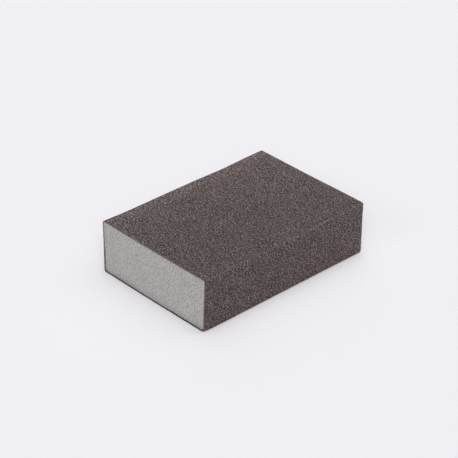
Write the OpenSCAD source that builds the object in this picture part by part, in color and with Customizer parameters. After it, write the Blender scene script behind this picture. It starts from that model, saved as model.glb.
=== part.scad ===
// Four-sided foam sanding block, lying on one of its broad faces.
// A foam core carries an abrasive coat on its top, its bottom and both long sides.
// The two short ends are bare foam, where the block was cut from a longer coated bar.
// Units are millimetres. X runs along the block, Y across it and Z up.
// The origin is at the middle of the bottom face.

/* [Block] */
// Length of the block, from one cut end to the other
block_length = 100; // [60:1:200]
// Width of the block, over the coats of its long sides
block_width = 68.5; // [40:0.5:120]
// Height of the block, over its top and bottom coats
block_height = 27; // [15:0.5:60]
// Radius of the four long edges, over the coats
edge_radius = 1.25; // [1:0.05:6]

/* [Coats] */
// Thickness of the resin that bonds the grit to the foam
bond_thickness = 0.2; // [0.1:0.05:0.3]
// Thickness of the grit, with the resin between and over its grains
grit_thickness = 0.4; // [0.2:0.05:0.6]

/* [Hidden] */

// Depth below the outer surface at which each layer ends
grit_depth = grit_thickness;
bond_depth = grit_thickness + bond_thickness;

// Turn of each coated face about the length of the block, counted from the top
top_turn = 0;
front_turn = 90;
bottom_turn = 180;
rear_turn = 270;

foam_colour = [0.66, 0.65, 0.64];
bond_colour = [0.24, 0.17, 0.14];
grit_colour = [0.37, 0.33, 0.33];

arc_segments = 96;

// A cross-section, with Y to the right and Z up, becomes a bar that rests on Z = 0.
module along_block() {
    translate([-block_length / 2, 0, block_height / 2])
        rotate([90, 0, 90])
            linear_extrude(block_length)
                children();
}

// Outline of the block at a depth below its outer surface, with round long edges.
module outline_at(depth) {
    radius = edge_radius - depth;
    flat_width = block_width - 2 * edge_radius;
    flat_height = block_height - 2 * edge_radius;
    square([flat_width, flat_height + 2 * radius], center = true);
    square([flat_width + 2 * radius, flat_height], center = true);
    for (side = [-1, 1], level = [-1, 1])
        translate([side * flat_width / 2, level * flat_height / 2])
            circle(radius, $fn = arc_segments);
}

// The wedge that belongs to one face. Its sides cut the round long edges in half,
// so neighbouring coats meet there in a mitre.
module face_wedge(turn) {
    is_broad = turn % 180 == 0;
    half_flat = (is_broad ? block_width : block_height) / 2 - edge_radius;
    arc_level = (is_broad ? block_height : block_width) / 2 - edge_radius;
    reach = 2 * edge_radius;
    rotate(turn)
        polygon([
            [-half_flat, arc_level],
            [half_flat, arc_level],
            [half_flat + reach, arc_level + reach],
            [-half_flat - reach, arc_level + reach]
        ]);
}

// One layer on one face, between two depths below the outer surface.
module coat(turn, outer_depth, inner_depth) {
    along_block()
        intersection() {
            difference() {
                outline_at(outer_depth);
                outline_at(inner_depth);
            }
            face_wedge(turn);
        }
}

// Resin that grips the skin of the foam, under the grit.
module bond_coat(turn) {
    color(bond_colour)
        coat(turn, grit_depth, bond_depth);
}

// Abrasive grains, held in the bond coat and sealed over with more resin.
module grit_coat(turn) {
    color(grit_colour)
        coat(turn, 0, grit_depth);
}

// The springy bar of foam that gives the block its shape and fills the hand.
module foam_core() {
    color(foam_colour)
        along_block()
            outline_at(bond_depth);
}

module top_bond_coat() {
    bond_coat(top_turn);
}

module bottom_bond_coat() {
    bond_coat(bottom_turn);
}

module front_bond_coat() {
    bond_coat(front_turn);
}

module rear_bond_coat() {
    bond_coat(rear_turn);
}

module top_grit_coat() {
    grit_coat(top_turn);
}

module bottom_grit_coat() {
    grit_coat(bottom_turn);
}

module front_grit_coat() {
    grit_coat(front_turn);
}

module rear_grit_coat() {
    grit_coat(rear_turn);
}

foam_core();
top_bond_coat();
bottom_bond_coat();
front_bond_coat();
rear_bond_coat();
top_grit_coat();
bottom_grit_coat();
front_grit_coat();
rear_grit_coat();
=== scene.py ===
"""Four-sided foam sanding block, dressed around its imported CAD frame.

Each abrasive coat is a closed shell of angular grains, the foam's cut ends are fields of
open cells, and the resin between them shows as a thin ragged line round each end.
Front and rear are the two long sides, and the bare ends are left and right, as in the CAD.
"""

import math
from collections import namedtuple

import bmesh
import bpy
import numpy as np
from mathutils import Matrix, Vector


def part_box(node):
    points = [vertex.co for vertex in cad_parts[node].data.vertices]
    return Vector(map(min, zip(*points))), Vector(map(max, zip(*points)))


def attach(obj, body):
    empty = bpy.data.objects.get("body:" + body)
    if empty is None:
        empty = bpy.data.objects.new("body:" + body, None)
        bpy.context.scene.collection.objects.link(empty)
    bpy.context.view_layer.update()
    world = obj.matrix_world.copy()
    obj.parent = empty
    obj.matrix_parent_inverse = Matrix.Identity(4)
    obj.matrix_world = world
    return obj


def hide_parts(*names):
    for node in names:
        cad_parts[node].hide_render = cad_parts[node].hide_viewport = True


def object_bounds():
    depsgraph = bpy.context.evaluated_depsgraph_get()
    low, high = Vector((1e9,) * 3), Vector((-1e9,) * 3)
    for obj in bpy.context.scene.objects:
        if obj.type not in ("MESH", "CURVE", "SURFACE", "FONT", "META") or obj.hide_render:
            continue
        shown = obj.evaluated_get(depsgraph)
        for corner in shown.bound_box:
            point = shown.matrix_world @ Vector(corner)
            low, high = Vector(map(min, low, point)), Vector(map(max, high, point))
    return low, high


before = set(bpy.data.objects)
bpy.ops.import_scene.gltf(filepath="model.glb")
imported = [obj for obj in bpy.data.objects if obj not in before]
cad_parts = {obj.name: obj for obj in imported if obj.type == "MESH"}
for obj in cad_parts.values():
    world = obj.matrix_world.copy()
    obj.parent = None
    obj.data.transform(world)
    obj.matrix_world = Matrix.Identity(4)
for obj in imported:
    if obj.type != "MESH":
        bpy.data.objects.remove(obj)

MM = 0.001
# Seeds of the random numbers. Those of the bond coats and the facets count up from face to face.
GRAIN_SEED = 11
COAT_END_SEED = 12
BOND_SEED = 13
FOAM_SEED = 20
FACET_SEED = 31

# ---------------------------------------------------------------- sizes read from the frame

CAD_LOW, CAD_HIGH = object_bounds()
LENGTH, WIDTH, HEIGHT = CAD_HIGH - CAD_LOW
CENTRE = (CAD_LOW + CAD_HIGH) / 2
# Depths below the outer surface at which the grit coat and then the bond coat end
GRIT_DEPTH = CAD_HIGH.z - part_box("top_bond_coat")[1].z
BOND_DEPTH = CAD_HIGH.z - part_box("foam_core")[1].z
# The top coat ends halfway round the long edges, which gives their radius
RADIUS = (WIDTH / 2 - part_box("top_grit_coat")[1].y) / (1 - math.sqrt(0.5))

# ---------------------------------------------------------------- sizes of the surface detail

# Grains: the distance between their tips, and the depth of the deepest pit between them
GRAIN_PITCH = 0.50 * MM
GRAIN_RELIEF = 0.22 * MM
# How far grains and cells stray from their places on the grid, in steps of it
GRAIN_STRAY = 0.38
CELL_STRAY = 0.28
# Cells of the foam: the distance between them, the depth of a deep one, and how far the
# whole cut end lies in from the coats' ends
CELL_PITCH = 0.40 * MM
CELL_DEPTH = 0.20 * MM
FOAM_RECESS = 0.04 * MM
# Steps of the surfaces that lie between two pieces, where nobody sees them
HIDDEN_STEP = 3.0 * MM
# Loops of points round the foam's plain sides, between its two cut ends
FOAM_LOOPS = 20
# Step of the resin's ragged line round a cut end
RESIN_STEP = 0.3 * MM
# How far a coat's cut end strays in and out
RAGGED_END = 0.08 * MM
# Widths of the pale strips along the long edges and round the cut ends, partly wear and partly painted
# highlight
WEAR_AND_HIGHLIGHT_WIDTH = 0.7 * MM
END_WIDTH = 1.0 * MM
# Heights of the strips of painted shade along the foot of the foam and of the front coat
SHADED_RIM = 3.2 * MM
SHADED_FOOT = 5.0 * MM
# The knock on the lower front corner of the left end
BLUNT_REACH = 3.0 * MM
BLUNT_DEPTH = 0.8 * MM
# Resin that fills the two lower corners of each cut end
CORNER_FILL = 0.38 * MM
CORNER_REACH = 2.2 * MM
# Roundness of the long edges: 2 is a circle, and more is nearer to a square corner
TOP_ROUNDNESS = 2.0
BOTTOM_ROUNDNESS = 3.5
# How light the cut end of each coat is, from 0 to 1. The bottom's low value is partly dark resin and
# partly painted shadow under the foam's end.
END_TONE = {"top": 0.75, "rear": 0.55, "bottom": 0.10, "front": 0.65}
# How much deeper than the bond coat its resin is smeared over the cut foam: all along it,
# as it wanders, and towards the foot of an upright side
Soak = namedtuple("Soak", "smear wander sunk")
SOAK = {
    "top": Soak(0.05 * MM, 0.07 * MM, 0.0),
    "rear": Soak(0.14 * MM, 0.20 * MM, 0.60 * MM),
    # The bottom's wide, dark smear is partly painted shadow under the foam's end
    "bottom": Soak(0.34 * MM, 0.12 * MM, 0.0),
    "front": Soak(0.07 * MM, 0.05 * MM, 0.0),
}

# ---------------------------------------------------------------- layout of the UV maps

# The exporter unwraps a piece for its bake only if it has no UV map of this name. Its own unwrap
# cuts a rough coat into thousands of islands, and so leaves few pixels for each grain.
BAKE_MAP = "OFBake"
# Charts of a piece's surfaces in the unit square, each as its low and its high corner. The
# whole square is for surfaces of a piece that gets no map here.
CHART_GAP = 0.004
WHOLE_MAP = ((0.0, 0.0), (1.0, 1.0))
COAT_OUTER_CHART = ((0.0, 0.30), (1.0, 1.0))
COAT_INNER_CHART = ((0.0, 0.20), (1.0, 0.30))
COAT_STRIP_HEIGHT = 0.03
FOAM_END_CHARTS = (((0.0, 0.04), (1.0, 0.52)), ((0.0, 0.52), (1.0, 1.0)))
FOAM_SIDE_CHART = ((0.0, 0.0), (1.0, 0.04))

# ---------------------------------------------------------------- the four coated faces

# A face's normal and tangent are in the section, as Y and Z. Its reach is its distance from the
# middle of the block, and flat is the width of it between the round long edges.
Face = namedtuple("Face", "name normal tangent reach flat")
# In the order of a tour round the section: each face's tangent leads to the next face
FACES = [
    Face("top", (0, 1), (1, 0), HEIGHT / 2, WIDTH - 2 * RADIUS),
    Face("rear", (1, 0), (0, -1), WIDTH / 2, HEIGHT - 2 * RADIUS),
    Face("bottom", (0, -1), (-1, 0), HEIGHT / 2, WIDTH - 2 * RADIUS),
    Face("front", (-1, 0), (0, 1), WIDTH / 2, HEIGHT - 2 * RADIUS),
]


# ---------------------------------------------------------------- shape of the block


def half_span(face):
    """Distance from the middle of a face to the middle of its round long edge."""
    return face.flat / 2 + RADIUS * math.pi / 4


def wrapped(face, x, across, depth):
    """Points of the block at a depth below one face, across being measured round its edges.

    The weight of the block and the hand squares its two lower edges a little.
    """
    x, across, depth = np.broadcast_arrays(x, across, depth)
    angle = np.clip(np.abs(across) - face.flat / 2, 0, None) / RADIUS
    is_low = face.normal[1] + np.sign(across) * face.tangent[1] < 0
    power = np.where(is_low, BOTTOM_ROUNDNESS, TOP_ROUNDNESS)
    squareness = (np.cos(angle) ** power + np.sin(angle) ** power) ** (-1 / power)
    turn = (RADIUS - depth) * squareness
    along = np.clip(across, -face.flat / 2, face.flat / 2) + np.sign(across) * np.sin(angle) * turn
    out = face.reach - RADIUS + np.cos(angle) * turn
    y = CENTRE.y + along * face.tangent[0] + out * face.normal[0]
    z = CENTRE.z + along * face.tangent[1] + out * face.normal[1]
    return np.stack([x, y, z], axis=-1)


def painted_light_and_shade(face, points):
    """How light a coat is at points on it, against its middle: painted light on the top and the front,
    and painted shade at the front's foot.
    """
    # Places across and along the block, from -1 to 1
    side = (points[..., 1] - CENTRE.y) / (WIDTH / 2)
    end = (points[..., 0] - CENTRE.x) / (LENGTH / 2)
    if face.name == "top":
        # Painted light: the top is lighter towards the rear and towards the right end, with a painted
        # reflection on the strip along the rear edge
        towards_rear = 0.28 * (np.clip(side + 0.6, 0, None) / 1.6) ** 2
        rear_strip = 0.18 * np.clip((side - 0.75) / 0.12, 0, 1)
        towards_right = 0.11 * np.clip(end, 0, None)
        return 0.885 + (towards_rear + rear_strip) + towards_right
    if face.name == "front":
        # Painted light: the front is lighter towards the right end, and on a strip at that end
        towards_right = 0.035 * end
        right_strip = 0.03 * np.clip((end - 0.85) / 0.15, 0, 1)
        # Painted shade: the front is darker along its foot, next to the floor
        foot = 0.08 * np.clip(1 - (points[..., 2] - CAD_LOW.z) / SHADED_FOOT, 0, 1)
        return 0.98 + towards_right + right_strip - foot
    if face.name == "rear":
        upper_half = np.clip((points[..., 2] - CENTRE.z) / (4 * MM), 0, 1)
        cut_end = np.clip(1 - (LENGTH / 2 - abs(points[..., 0])) / (0.4 * MM), 0, 1)
        return 1 + 0.8 * upper_half * cut_end
    return np.ones(points.shape[:-1])


def wave(points, direction, length, phase):
    """A smooth sine wave through space, from -1 to 1."""
    return np.sin(points @ (np.array(direction) * 2 * math.pi / length) + phase)


def settled(points):
    """The same points on a real block, which is flat below but not quite true elsewhere."""
    x, y, z = points.T
    # Places up the block from 0 to 1, and across it, along it and up it from -1 to 1
    rise = (z - CAD_LOW.z) / HEIGHT
    side = (y - CENTRE.y) / (WIDTH / 2)
    end = (x - CENTRE.x) / (LENGTH / 2)
    level = 2 * rise - 1
    rearward = np.clip(side, 0, 1)
    leftward = np.clip(-end, 0, 1)
    rightward = np.clip(end, 0, 1)
    moved = points.copy()

    # Gentle waves, which leave the bottom flat, and a slight lean along the block
    swell = wave(points, (1, 0.3, 0), 47 * MM, 0.4) + wave(points, (0.5, -1, 0), 61 * MM, 2.1)
    lean = wave(points, (1, 0, 0.4), 58 * MM, 1.3)
    pinch = wave(points, (1, 0, -0.8), 31 * MM, 4.0)
    skew = wave(points, (0, 1, 0.6), 72 * MM, 0.9)
    moved[:, 0] += end * 0.10 * MM * skew + 0.08 * MM * (rise - 0.5)
    moved[:, 1] += 0.10 * MM * lean * rise + side * 0.08 * MM * pinch * rise
    moved[:, 2] += rise * 0.09 * MM * swell

    # The left end is cut askew, so that its corners stand out by different amounts, here in mm
    stands_out = 0.12 + 0.085 * side - 0.08 * level + 0.185 * side * level
    moved[:, 0] -= stands_out * MM * leftward

    # The rear side leans in at its foot and towards the left end, and stands higher on the right
    moved[:, 1] -= 0.35 * MM * rearward * (1 - rise)
    moved[:, 1] -= 0.15 * MM * rearward * leftward
    moved[:, 2] += rise * MM * rearward * (0.08 + 0.20 * rightward)

    # The knocked corner is pushed into the block, a little less upward than inward
    from_corner = np.linalg.norm(points - np.array(CAD_LOW), axis=1)
    blunt = np.clip(1 - from_corner / BLUNT_REACH, 0, 1)[:, None] ** 2
    return moved + blunt * BLUNT_DEPTH * np.array([0.6, 0.6, 0.5])


# ---------------------------------------------------------------- mesh tools


class Shell:
    """Gathers the points and triangles of one closed piece, and where they lie on its UV map."""

    def __init__(self):
        self.points, self.faces, self.corners = [], [], []
        self.count = 0

    def add(self, points):
        """Adds a block of points and returns their numbers in the block's shape."""
        numbers = self.count + np.arange(points.size // 3).reshape(points.shape[:-1])
        self.points.append(points.reshape(-1, 3))
        self.count += numbers.size
        return numbers

    def filled(self, values, rest):
        """A number for each point: values for the points added first, and rest for the others."""
        numbers = np.full(self.count, rest)
        numbers[: values.size] = values.ravel()
        return numbers

    def lay(self, numbers, places, triangles, chart):
        """Keeps triangles among numbered points, whose places from 0 to 1 are fitted to a chart."""
        low, high = np.array(chart)
        fitted = low + CHART_GAP / 2 + places * (high - low - CHART_GAP)
        faces = numbers[triangles]
        self.faces.append(faces)
        self.corners.append(fitted[triangles])
        return faces

    def cover(self, numbers, chart=WHOLE_MAP, shifted=False):
        """Triangles over a grid of points, whose odd rows may be shifted by half a step."""
        row, column = np.indices(numbers.shape)
        places = np.stack([column / column.max(), row / row.max()], axis=-1)
        index = np.arange(numbers.size).reshape(numbers.shape)
        here = index[:-1, :-1]
        beside = index[:-1, 1:]
        above = index[1:, :-1]
        across = index[1:, 1:]
        odd = (np.arange(len(here)) % 2 == 1)[:, None, None] & shifted
        one = np.where(odd, np.stack([here, beside, across], -1), np.stack([here, beside, above], -1))
        two = np.where(odd, np.stack([here, across, above], -1), np.stack([beside, across, above], -1))
        triangles = np.concatenate([one.reshape(-1, 3), two.reshape(-1, 3)])
        return self.lay(numbers.ravel(), places.reshape(-1, 2), triangles, chart)

    def zip(self, one, two, chart=WHOLE_MAP):
        """Triangles between two chains of points that run side by side."""
        triangles, i, j = [], 0, 0
        while i < len(one) - 1 or j < len(two) - 1:
            ahead = (i + 1) * (len(two) - 1) <= (j + 1) * (len(one) - 1)
            if i < len(one) - 1 and (ahead or j == len(two) - 1):
                triangles.append((i, i + 1, len(one) + j))
                i += 1
            else:
                triangles.append((i, len(one) + j + 1, len(one) + j))
                j += 1
        along = np.concatenate([np.linspace(0, 1, len(one)), np.linspace(0, 1, len(two))])
        over = np.repeat([0.0, 1.0], [len(one), len(two)])
        places = np.stack([along, over], axis=-1)
        return self.lay(np.concatenate([one, two]), places, np.array(triangles), chart)

    def piece(self, name, smooth, mapped):
        """The closed mesh as an object, with its faces turned outward and its UV map if asked."""
        mesh = bpy.data.meshes.new(name)
        points = settled(np.concatenate(self.points))
        mesh.from_pydata(points, [], np.concatenate(self.faces))
        if mapped:
            layer = mesh.uv_layers.new(name=BAKE_MAP)
            layer.data.foreach_set("uv", np.concatenate(self.corners).ravel())
        solid = bmesh.new()
        solid.from_mesh(mesh)
        bmesh.ops.recalc_face_normals(solid, faces=solid.faces)
        solid.to_mesh(mesh)
        solid.free()
        if smooth:
            mesh.shade_smooth()
        else:
            mesh.shade_flat()
        made = bpy.data.objects.new(name, mesh)
        bpy.context.scene.collection.objects.link(made)
        return made


def store(mesh, name, domain, values):
    """Keeps one number for each point or face of a mesh, for its material to read."""
    mesh.attributes.new(name, "FLOAT", domain).data.foreach_set("value", values.astype(np.float32))


def shift_of(rows, columns):
    """How far the points of each odd row are shifted, in steps, easing to 0 at both ends."""
    column = np.arange(columns + 1)
    ease = np.clip(np.minimum(column, columns - column) / 3, 0, 1)
    return 0.5 * ease * (rows % 2)[:, None]


def is_peak(rows, columns):
    """Every third point of a shifted grid, so that each triangle has exactly one of them."""
    return (np.arange(columns + 1) - (rows // 2 + rows)[:, None]) % 3 == 0


def evened(values, mask):
    """Random numbers from 0 to 1 for the masked points of a grid, whose neighbours differ.

    This keeps patches from being all light or all dark.
    """
    moves = [(row, column) for row in range(-2, 3) for column in range(-3, 4)]
    total = sum(np.roll(values * mask, move, (0, 1)) for move in moves)
    count = sum(np.roll(mask, move, (0, 1)).astype(int) for move in moves)
    apart = (values - 0.5 * total / np.maximum(count, 1))[mask]
    result = np.zeros(values.shape)
    result[mask] = apart.argsort().argsort() / len(apart)
    return result


def steps_for(length, step):
    """An even number of steps, each about as long as asked."""
    return 2 * max(1, round(length / step / 2))


def strip_chart(number):
    """The chart of one of the six thin strips that join the two broad surfaces of a coat."""
    return (0.0, COAT_STRIP_HEIGHT * number), (1.0, COAT_STRIP_HEIGHT * (number + 1))


# ---------------------------------------------------------------- abrasive coats

LATTICE = GRAIN_PITCH / math.sqrt(3)
COLUMNS = steps_for(LENGTH, LATTICE)
ROWS = [steps_for(2 * half_span(face), LATTICE * math.sqrt(3) / 2) for face in FACES]


class Grains:
    """Random grains on one grid that runs right round the block, so that coats meet exactly."""

    def __init__(self):
        random = np.random.default_rng(GRAIN_SEED)
        rows = np.arange(sum(ROWS))
        shape = (len(rows), COLUMNS + 1)
        peak = is_peak(rows, COLUMNS)
        # Heights from 0 in the deepest pit to 1 on the highest tip
        is_short = random.random(shape) < 0.13
        tips = np.where(is_short, random.uniform(0.1, 0.45, shape), random.uniform(0.6, 1, shape))
        is_shallow = random.random(shape) < 0.08
        pits = np.where(is_shallow, random.uniform(0.5, 0.8, shape), random.uniform(0, 0.32, shape))
        self.height = np.where(peak, tips, pits)
        self.tone = evened(random.random(shape), peak)
        self.stray_x = random.uniform(-GRAIN_STRAY, GRAIN_STRAY, shape) * LATTICE
        self.stray_across = random.uniform(-GRAIN_STRAY, GRAIN_STRAY, shape) * LATTICE
        starts = np.cumsum([0] + ROWS[:-1])
        self.stray_across[starts] = 0
        self.stray_x[:, [0, -1]] = random.uniform(-RAGGED_END, RAGGED_END, (len(rows), 2))
        self.starts = dict(zip((face.name for face in FACES), starts))
        self.row_counts = dict(zip((face.name for face in FACES), ROWS))

    def rows_of(self, face):
        """The tour's rows that belong to one face, with the first row of the next face."""
        start = self.starts[face.name]
        return (start + np.arange(self.row_counts[face.name] + 1)) % sum(ROWS)


def hidden_across(face):
    """Places across a face for a surface that nobody sees, close together only round the edges."""
    bends = np.linspace(face.flat / 2, half_span(face), 4)
    flat = np.linspace(-face.flat / 2, face.flat / 2, steps_for(face.flat, HIDDEN_STEP) + 1)
    return np.concatenate([-bends[:0:-1], flat, bends[1:]])


def hidden_along(margin=0.0):
    """Places along the block for a surface that nobody sees, short of both ends by a margin."""
    end = LENGTH / 2 - margin
    return CENTRE.x + np.linspace(-end, end, steps_for(LENGTH, HIDDEN_STEP) + 1)


def end_place(side):
    """Where along the block its left end is, for side 0, or its right end, for side -1."""
    return CENTRE.x + (LENGTH / 2 if side else -LENGTH / 2)


def facet_tones(face, grain_tones, rows, surface, shell):
    """A tone for each triangle of a grit coat: its own grain's tone, and a little of its own."""
    peak = is_peak(rows, COLUMNS).ravel()
    which = np.argmax(peak[surface], axis=1)[:, None]
    grain = np.take_along_axis(surface, which, axis=1)[:, 0]
    tone = np.full(sum(len(faces) for faces in shell.faces), END_TONE[face.name])
    tone[: len(surface)] = grain_tones.ravel()[grain]
    random = np.random.default_rng(FACET_SEED + FACES.index(face))
    return np.clip(tone + random.uniform(-0.3, 0.3, len(tone)), 0, 1)


def edge_wear_and_highlight(face, x, across):
    """How pale each point of a coat is, from 0 to 1, partly from wear and partly as a painted
    highlight: most on the long edges and the cut ends.
    """
    from_edge = (half_span(face) - np.abs(across)) / WEAR_AND_HIGHLIGHT_WIDTH
    from_end = (LENGTH / 2 - np.abs(x - CENTRE.x)) / END_WIDTH
    return np.maximum(1 - np.clip(from_edge, 0, 1), 0.85 - 0.85 * np.clip(from_end, 0, 1))


def grit_piece(face, grains):
    """The grit coat of one face, from the tips of its grains down to the bond coat."""
    rows = grains.rows_of(face)
    height = grains.height[rows]
    column = np.arange(COLUMNS + 1) + shift_of(rows, COLUMNS)
    x = CENTRE.x - LENGTH / 2 + column * LENGTH / COLUMNS + grains.stray_x[rows]
    row_places = np.linspace(-half_span(face), half_span(face), len(rows))
    across = row_places[:, None] + grains.stray_across[rows]
    across[[0, -1]] = [[-half_span(face)], [half_span(face)]]

    shell = Shell()
    outer = shell.add(wrapped(face, x, across, GRAIN_RELIEF * (1 - height)))
    surface = shell.cover(outer, COAT_OUTER_CHART, shifted=True)
    inner = shell.add(wrapped(face, hidden_along(), hidden_across(face)[:, None], GRIT_DEPTH))
    shell.cover(inner, COAT_INNER_CHART)
    random = np.random.default_rng(COAT_END_SEED)
    broken = random.uniform(-RAGGED_END, RAGGED_END, (2, len(rows)))
    middle_depth = (GRAIN_RELIEF + GRIT_DEPTH) / 2
    middles = []
    for side in (0, -1):
        end_x = end_place(side) + broken[side]
        middle = shell.add(wrapped(face, end_x, across[:, side], middle_depth))
        shell.cover(np.stack([outer[:, side], middle]), strip_chart(2 * len(middles)))
        shell.zip(middle, inner[:, side], strip_chart(2 * len(middles) + 1))
        middles.append(middle)
    for strip, row in ((4, 0), (5, -1)):
        back = np.concatenate([[middles[0][row]], inner[row], [middles[1][row]]])
        shell.zip(outer[row], back, strip_chart(strip))

    made = shell.piece("grit_" + face.name, smooth=False, mapped=True)
    store(made.data, "tone", "FACE", facet_tones(face, grains.tone[rows], rows, surface, shell))
    store(made.data, "level", "POINT", shell.filled(height, END_TONE[face.name]))
    store(made.data, "wear_and_highlight", "POINT", shell.filled(edge_wear_and_highlight(face, x, across), 0.0))
    store(made.data, "shade", "POINT", painted_light_and_shade(face, np.concatenate(shell.points)))
    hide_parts(face.name + "_grit_coat")
    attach(made, "root")
    return made


# ---------------------------------------------------------------- bond coats


def resin_depths(face, across, random):
    """How deep the resin reaches at places along the cut end of one face's bond coat."""
    smear, wander, sunk = SOAK[face.name]
    place = np.arange(len(across))
    drift = np.interp(place, place[::4], random.uniform(-1, 1, len(place[::4])))
    ragged = random.uniform(-0.06, 0.08, len(across)) * MM
    # From 0 above the middle of an upright side to 1 below it, over 4 mm
    below = np.clip(0.5 - across * face.tangent[1] / (4 * MM), 0, 1)
    is_low = face.normal[1] + np.sign(across) * face.tangent[1] < 0
    corner = np.clip(1 - (half_span(face) - np.abs(across)) / CORNER_REACH, 0, 1) * is_low
    soak = BOND_DEPTH + smear + sunk * below + wander * drift + ragged
    return soak + CORNER_FILL * corner**2


def bond_piece(face):
    """The resin under one face's grit, whose lower line wanders where the foam was cut through."""
    random = np.random.default_rng(BOND_SEED + FACES.index(face))
    steps = steps_for(2 * half_span(face), RESIN_STEP)
    across = np.linspace(-half_span(face), half_span(face), steps + 1)
    inset = 1.0 * MM
    shell = Shell()
    outer = shell.add(wrapped(face, hidden_along(), hidden_across(face)[:, None], GRIT_DEPTH))
    inner = shell.add(wrapped(face, hidden_along(inset), hidden_across(face)[:, None], BOND_DEPTH))
    shell.cover(outer)
    shell.cover(inner)
    lines = []
    for side in (0, -1):
        depths = resin_depths(face, across, random)
        x = end_place(side) + random.uniform(-0.5, 0.5, steps + 1) * RAGGED_END
        line = shell.add(wrapped(face, x, across, depths))
        shell.zip(outer[:, side], line)
        shell.zip(line, inner[:, side])
        lines.append(line)
    for row in (0, -1):
        shell.zip(outer[row], np.concatenate([[lines[0][row]], inner[row], [lines[1][row]]]))

    made = shell.piece("bond_" + face.name, smooth=False, mapped=False)
    # The bottom's low end tone darkens its resin line, partly as painted shadow
    end_shade = 0.5 + 2.0 * END_TONE[face.name]
    store(made.data, "shade", "POINT", end_shade * painted_light_and_shade(face, np.concatenate(shell.points)))
    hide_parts(face.name + "_bond_coat")
    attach(made, "root")
    return made


# ---------------------------------------------------------------- foam core


def foam_levels(half_height, radius, step):
    """Heights of the foam's rows of cells, close together where its long edges are round."""
    angles = np.linspace(0, math.pi / 2, max(3, round(radius * math.pi / 2 / step)) + 1)
    bend = half_height - radius + radius * np.sin(angles)
    steps = steps_for(2 * (half_height - radius), step)
    flat = np.linspace(radius - half_height, half_height - radius, steps + 1)
    return np.concatenate([-bend[:0:-1], flat, bend[1:]])


def foam_reaches(levels, half_width, half_height, radius):
    """Half the width of the foam at each height, between its round long edges."""
    rounding = np.clip(np.abs(levels) - (half_height - radius), 0, radius)
    power = np.where(levels < 0, BOTTOM_ROUNDNESS, TOP_ROUNDNESS)
    return half_width - radius + (radius**power - rounding**power) ** (1 / power)


def cell_depths(random, peak):
    """How deep the foam is cut at each point of an end, in cell depths: deep in the cells."""
    deep = np.where(peak, random.uniform(0.2, 1.2, peak.shape), random.uniform(0, 0.3, peak.shape))
    is_merged = random.random(peak.shape) < 0.1
    deep = np.where(is_merged, random.uniform(0.3, 0.9, peak.shape), deep)
    deep[:, [0, -1]] = 0.1
    deep[[0, -1], :] = 0.1
    return deep


def foam_piece():
    """The foam core: open cells on both cut ends, and plain sides under the coats."""
    low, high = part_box("foam_core")
    half_width, half_height = (high.y - low.y) / 2, (high.z - low.z) / 2
    radius = RADIUS - BOND_DEPTH
    lattice = CELL_PITCH / math.sqrt(3)
    levels = foam_levels(half_height, radius, lattice * math.sqrt(3) / 2)
    reach = foam_reaches(levels, half_width, half_height, radius)
    rows = np.arange(len(levels))
    columns = steps_for(2 * half_width, lattice)
    column = np.arange(columns + 1) + shift_of(rows, columns)
    peak = is_peak(rows, columns)

    random = np.random.default_rng(FOAM_SEED)
    shell = Shell()
    rims, depths, tones = [], [], []
    for sign, chart in zip((-1, 1), FOAM_END_CHARTS):
        stray = random.uniform(-CELL_STRAY, CELL_STRAY, (2,) + peak.shape)
        stray[:, :, [0, -1]] = 0
        stray[:, [0, -1], :] = 0
        y = (2 * (column + stray[0]) / columns - 1) * reach[:, None]
        z = levels[:, None] + stray[1] * np.gradient(levels)[:, None]
        deep = cell_depths(random, peak)
        x = CENTRE.x + sign * (LENGTH / 2 - FOAM_RECESS - CELL_DEPTH * deep)
        end = shell.add(np.stack([x, CENTRE.y + y, CENTRE.z + z], axis=-1))
        surface = shell.cover(end, chart, shifted=True) - end[0, 0]
        which = np.argmax(peak.ravel()[surface], axis=1)[:, None]
        cell = np.take_along_axis(surface, which, axis=1)[:, 0]
        tones.append(evened(random.random(peak.shape), peak).ravel()[cell])
        rims.append(np.concatenate([end[0, :-1], end[:-1, -1], end[-1, :0:-1], end[:0:-1, 0]]))
        depths.append(deep.ravel())
    end_points = np.concatenate(shell.points)
    way = np.linspace(0, 1, FOAM_LOOPS + 2)[1:-1, None, None]
    between = end_points[rims[0]] * (1 - way) + end_points[rims[1]] * way
    loops = np.concatenate([rims[0][None], shell.add(between), rims[1][None]])
    shell.cover(np.concatenate([loops, loops[:, :1]], axis=1), FOAM_SIDE_CHART)

    made = shell.piece("foam_block", smooth=True, mapped=True)
    tone = np.full(sum(len(faces) for faces in shell.faces), 0.5)
    tone[: sum(len(part) for part in tones)] = np.concatenate(tones)
    points = np.concatenate(shell.points)
    # Painted shade: the foam is darker along its foot and, half as much, along its rear edge
    at_foot = np.clip(1 - (points[:, 2] - low.z) / SHADED_RIM, 0, 1)
    at_rear = np.clip(1 - (high.y - points[:, 1]) / (0.6 * SHADED_RIM), 0, 1)
    store(made.data, "pit", "POINT", shell.filled(np.concatenate(depths), 0.0))
    store(made.data, "tone", "FACE", tone)
    store(made.data, "rim", "POINT", np.maximum(at_foot, 0.5 * at_rear))
    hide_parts("foam_core")
    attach(made, "root")
    return made


# ---------------------------------------------------------------- materials


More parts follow.
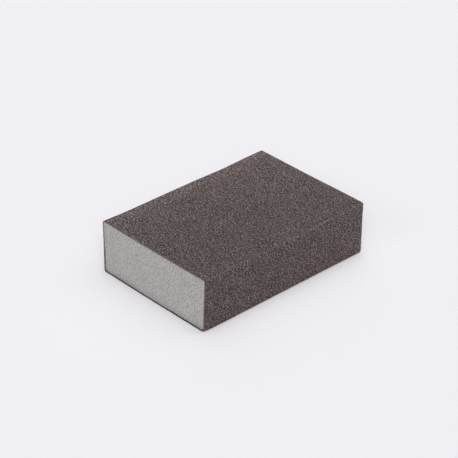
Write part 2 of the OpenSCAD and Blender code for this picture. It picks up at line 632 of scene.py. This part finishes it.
class Nodes:
    """Builds a material's node tree a step at a time.

    Each step returns an output socket. A value or a colour that it takes may be a socket too.
    """

    def __init__(self, name):
        self.material = bpy.data.materials.new(name)
        self.material.use_nodes = True
        self.tree = self.material.node_tree
        self.shader = self.tree.nodes["Principled BSDF"]

    def add(self, kind, values=None, **settings):
        """A node with its settings, and values for its input sockets."""
        node = self.tree.nodes.new(kind)
        for key, value in settings.items():
            setattr(node, key, value)
        self.feed(node, values or {})
        return node

    def feed(self, node, values):
        """Links or sets a node's input sockets."""
        for key, value in values.items():
            if isinstance(value, bpy.types.NodeSocket):
                self.tree.links.new(value, node.inputs[key])
            else:
                node.inputs[key].default_value = value

    def attribute(self, name):
        """A number that the mesh keeps for each of its points or faces."""
        return self.add("ShaderNodeAttribute", attribute_name=name).outputs["Fac"]

    def place(self):
        """Position on the object, in metres."""
        return self.add("ShaderNodeTexCoord").outputs["Object"]

    def noise(self, size, detail=2.0, roughness=0.5):
        """Noise whose features are about size across, from 0 to 1."""
        values = {"Vector": self.place(), "Scale": 1 / size, "Detail": detail, "Roughness": roughness}
        return self.add("ShaderNodeTexNoise", values).outputs["Fac"]

    def math(self, operation, one, two=0.0):
        """One operation on two numbers."""
        return self.add("ShaderNodeMath", {0: one, 1: two}, operation=operation).outputs[0]

    def scaled(self, value, low, high, to_low, to_high):
        """A number moved from one range to another, and kept inside it."""
        values = {"Value": value, "From Min": low, "From Max": high}
        values.update({"To Min": to_low, "To Max": to_high})
        return self.add("ShaderNodeMapRange", values).outputs["Result"]

    def ramp(self, value, stops):
        """A colour for each stop of a number from 0 to 1."""
        node = self.add("ShaderNodeValToRGB", {"Fac": value})
        elements = node.color_ramp.elements
        while len(elements) < len(stops):
            elements.new(0.5)
        for element, (position, colour) in zip(elements, stops):
            element.position = position
            element.color = (*colour, 1)
        return node.outputs["Color"]

    def mix(self, share, one, two, blend="MIX"):
        """Two colours mixed."""
        node = self.add("ShaderNodeMix", data_type="RGBA", blend_type=blend)
        colours = [c if isinstance(c, bpy.types.NodeSocket) else (*c, 1) for c in (one, two)]
        self.feed(node, {0: share, 6: colours[0], 7: colours[1]})
        return node.outputs[2]

    def tinted(self, colour, share, one, two):
        """A colour multiplied by a mix of two tints."""
        return self.mix(1.0, colour, self.mix(share, one, two), "MULTIPLY")

    def shaded(self, colour, value):
        """A colour made lighter or darker by a number round 1."""
        grey = self.add("ShaderNodeCombineColor", {channel: value for channel in range(3)}).outputs[0]
        return self.mix(1.0, colour, grey, "MULTIPLY")

    def bump(self, height, distance, strength=1.0):
        """A normal bent by a height from 0 to 1, which stands for a distance."""
        values = {"Height": height, "Distance": distance, "Strength": strength}
        return self.add("ShaderNodeBump", values).outputs["Normal"]

    def complete(self, values):
        """Feeds the shader's own sockets and returns the material."""
        self.feed(self.shader, values)
        return self.material


def grit_material():
    """Grey-brown grains in darker resin, a little paler along the edges, partly from wear and partly
    as a painted highlight.
    """
    m = Nodes("abrasive_grit")
    tone = m.attribute("tone")
    grain = m.ramp(
        tone,
        [
            (0.00, (0.009, 0.0045, 0.0037)),
            (0.30, (0.032, 0.020, 0.0185)),
            (0.70, (0.106, 0.0785, 0.076)),
            (1.00, (0.314, 0.256, 0.265)),
        ],
    )
    odd = m.math("FRACT", m.math("MULTIPLY", tone, 37.0))
    grain = m.tinted(grain, odd, (1.02, 0.992, 0.985), (0.98, 1.008, 1.015))
    buried = m.scaled(m.attribute("level"), 0.05, 0.55, 0.75, 0.0)
    colour = m.mix(buried, grain, (0.040, 0.027, 0.024))
    # Paler along the long edges and the cut ends: partly wear, partly painted highlight
    paleness = m.scaled(m.noise(4 * MM, 3), 0.35, 0.65, 0.12, 0.42)
    paleness = m.math("MULTIPLY", m.attribute("wear_and_highlight"), paleness)
    colour = m.mix(paleness, colour, (0.200, 0.155, 0.140))
    colour = m.shaded(colour, m.attribute("shade"))
    colour = m.shaded(colour, m.scaled(m.noise(9 * MM, 2), 0.3, 0.7, 0.93, 1.07))
    colour = m.tinted(colour, m.noise(4 * MM, 2), (1.03, 0.985, 1.02), (0.97, 1.015, 0.98))
    rough = m.scaled(tone, 0.0, 1.0, 0.72, 0.48)
    chips = m.bump(m.noise(0.09 * MM, 2, 0.7), 0.03 * MM, 0.8)
    return m.complete({
        "Base Color": colour,
        "Roughness": rough,
        "Normal": chips,
        "Specular IOR Level": 0.45,
    })


def bond_material():
    """Brown cured resin, soaked into the skin of the foam."""
    m = Nodes("bond_resin")
    colour = m.ramp(m.noise(0.5 * MM, 3), [(0.3, (0.045, 0.036, 0.034)), (0.7, (0.105, 0.086, 0.082))])
    colour = m.shaded(colour, m.attribute("shade"))
    rough = m.scaled(m.noise(0.8 * MM, 2), 0.3, 0.7, 0.45, 0.75)
    grain = m.bump(m.noise(0.12 * MM, 3, 0.6), 0.04 * MM)
    return m.complete({"Base Color": colour, "Roughness": rough, "Normal": grain})


def foam_material():
    """Light grey fine-celled foam: pale cell walls round pits that are painted darker the deeper they
    are, as painted shade.
    """
    m = Nodes("foam")
    # Painted shade: the deeper a pit, the darker it is painted
    colour = m.ramp(
        m.scaled(m.attribute("pit"), 0.0, 1.2, 0.0, 1.0),
        [
            (0.0, (0.445, 0.443, 0.431)),
            (0.4, (0.374, 0.372, 0.362)),
            (1.0, (0.188, 0.188, 0.183)),
        ],
    )
    cell = m.math("POWER", m.attribute("tone"), 0.5)
    colour = m.shaded(colour, m.scaled(cell, 0.0, 1.0, 0.44, 1.28))
    colour = m.shaded(colour, m.scaled(m.noise(2 * MM, 2), 0.3, 0.7, 0.985, 1.015))
    colour = m.tinted(colour, m.noise(5 * MM, 2), (1.02, 0.99, 1.015), (0.98, 1.01, 0.985))
    colour = m.shaded(colour, m.scaled(m.noise(8 * MM, 2), 0.3, 0.7, 0.96, 1.04))
    # Painted shade along the foot and the rear edge of the foam, where the rim attribute is high
    painted_shade = m.mix(1.0, colour, (0.78, 0.80, 0.83), "MULTIPLY")
    colour = m.mix(m.attribute("rim"), colour, painted_shade)
    walls = m.bump(m.noise(0.14 * MM, 3, 0.6), 0.05 * MM, 0.7)
    return m.complete({
        "Base Color": colour,
        "Roughness": 0.92,
        "Normal": walls,
        "Specular IOR Level": 0.25,
    })


# ---------------------------------------------------------------- floor, lights and camera


def studio_floor():
    """A plain pale floor that reaches past every view."""
    reach = 30.0
    corners = [(x * reach, y * reach, 0) for x, y in ((-1, -1), (1, -1), (1, 1), (-1, 1))]
    mesh = bpy.data.meshes.new("floor")
    mesh.from_pydata(corners, [], [(0, 1, 2, 3)])
    floor = bpy.data.objects.new("floor", mesh)
    floor.location.z = CAD_LOW.z
    bpy.context.scene.collection.objects.link(floor)
    paint = {"Base Color": (0.800, 0.793, 0.814, 1), "Roughness": 0.9, "Specular IOR Level": 0.1}
    mesh.materials.append(Nodes("floor").complete(paint))


def world_light(horizon, overhead):
    """A white room: a bright band of wall all round the horizon, under a dim ceiling."""
    world = bpy.data.worlds.new("studio")
    world.use_nodes = True
    tree = world.node_tree
    place = tree.nodes.new("ShaderNodeTexCoord")
    split = tree.nodes.new("ShaderNodeSeparateXYZ")
    strength = tree.nodes.new("ShaderNodeMapRange")
    background = tree.nodes["Background"]
    background.inputs["Color"].default_value = (0.985, 0.98, 1.0, 1)
    strength.interpolation_type = "SMOOTHSTEP"
    strength.inputs["From Min"].default_value = math.sin(math.radians(6))
    strength.inputs["From Max"].default_value = math.sin(math.radians(12))
    strength.inputs["To Min"].default_value = horizon
    strength.inputs["To Max"].default_value = overhead
    tree.links.new(place.outputs["Generated"], split.inputs["Vector"])
    tree.links.new(split.outputs["Z"], strength.inputs["Value"])
    tree.links.new(strength.outputs["Result"], background.inputs["Strength"])
    bpy.context.scene.world = world


def soft_light(name, direction, angle, strength, colour=(1, 1, 1)):
    """A big soft box, far off in one direction, that looks some degrees wide from the block."""
    data = bpy.data.lights.new(name, "SUN")
    data.angle = math.radians(angle)
    data.energy = strength
    data.color = colour
    light = bpy.data.objects.new(name, data)
    light.location = CENTRE + Vector(direction).normalized()
    light.rotation_mode = "QUATERNION"
    light.rotation_quaternion = Vector(direction).to_track_quat("Z", "Y")
    bpy.context.scene.collection.objects.link(light)


def studio_lights():
    """A bluish glow from above, a warm key from the near left, and weak boxes round the rest."""
    world_light(horizon=0.89, overhead=0.03)
    soft_light("overhead", (0.0, 0.0, 1.0), 40, 0.88, (0.93, 1.006, 1.085))
    soft_light("ceiling", (0.0, 0.0, 1.0), 90, 0.50, (0.94, 1.005, 1.06))
    soft_light("key", (-0.7, -0.7, 0.85), 34, 2.00, (1.0, 0.937, 0.875))
    soft_light("left_box", (-1.0, 0.04, 0.62), 13, 0.32, (0.90, 0.86, 1.0))
    soft_light("right_box", (1.0, -0.30, 1.30), 46, 0.44)
    soft_light("back_box", (0.6, 0.8, 0.9), 50, 0.32)


def studio_camera():
    """Looks down on the left end and the front side, from well back and with a long lens."""
    azimuth, elevation, roll = (math.radians(a) for a in (-43.82, 30.97, 1.02))
    distance, lens = 0.8177, 138.16
    aim = CENTRE + Vector((0.0294 * LENGTH, 0.0963 * WIDTH, 0))
    back = Vector((
        math.sin(azimuth) * math.cos(elevation),
        -math.cos(azimuth) * math.cos(elevation),
        math.sin(elevation),
    ))
    level = Vector((math.cos(azimuth), math.sin(azimuth), 0))
    upright = back.cross(level)
    right = level * math.cos(roll) + upright * math.sin(roll)
    up = upright * math.cos(roll) - level * math.sin(roll)
    data = bpy.data.cameras.new("camera")
    data.lens = lens
    data.sensor_width = 36.0
    data.clip_start, data.clip_end = 0.01, 100
    camera = bpy.data.objects.new("camera", data)
    turn = Matrix((right, up, back)).transposed().to_4x4()
    camera.matrix_world = Matrix.Translation(aim + back * distance) @ turn
    bpy.context.scene.collection.objects.link(camera)
    bpy.context.scene.camera = camera


# ---------------------------------------------------------------- assembly


def dress(piece, material):
    """Gives a piece its material."""
    piece.data.materials.append(material)


def build():
    """Makes the nine pieces of the block."""
    grains = Grains()
    grit, resin = grit_material(), bond_material()
    for face in FACES:
        dress(grit_piece(face, grains), grit)
        dress(bond_piece(face), resin)
    dress(foam_piece(), foam_material())


build()
studio_floor()
studio_lights()
studio_camera()
bpy.context.scene.view_settings.view_transform = "Standard"
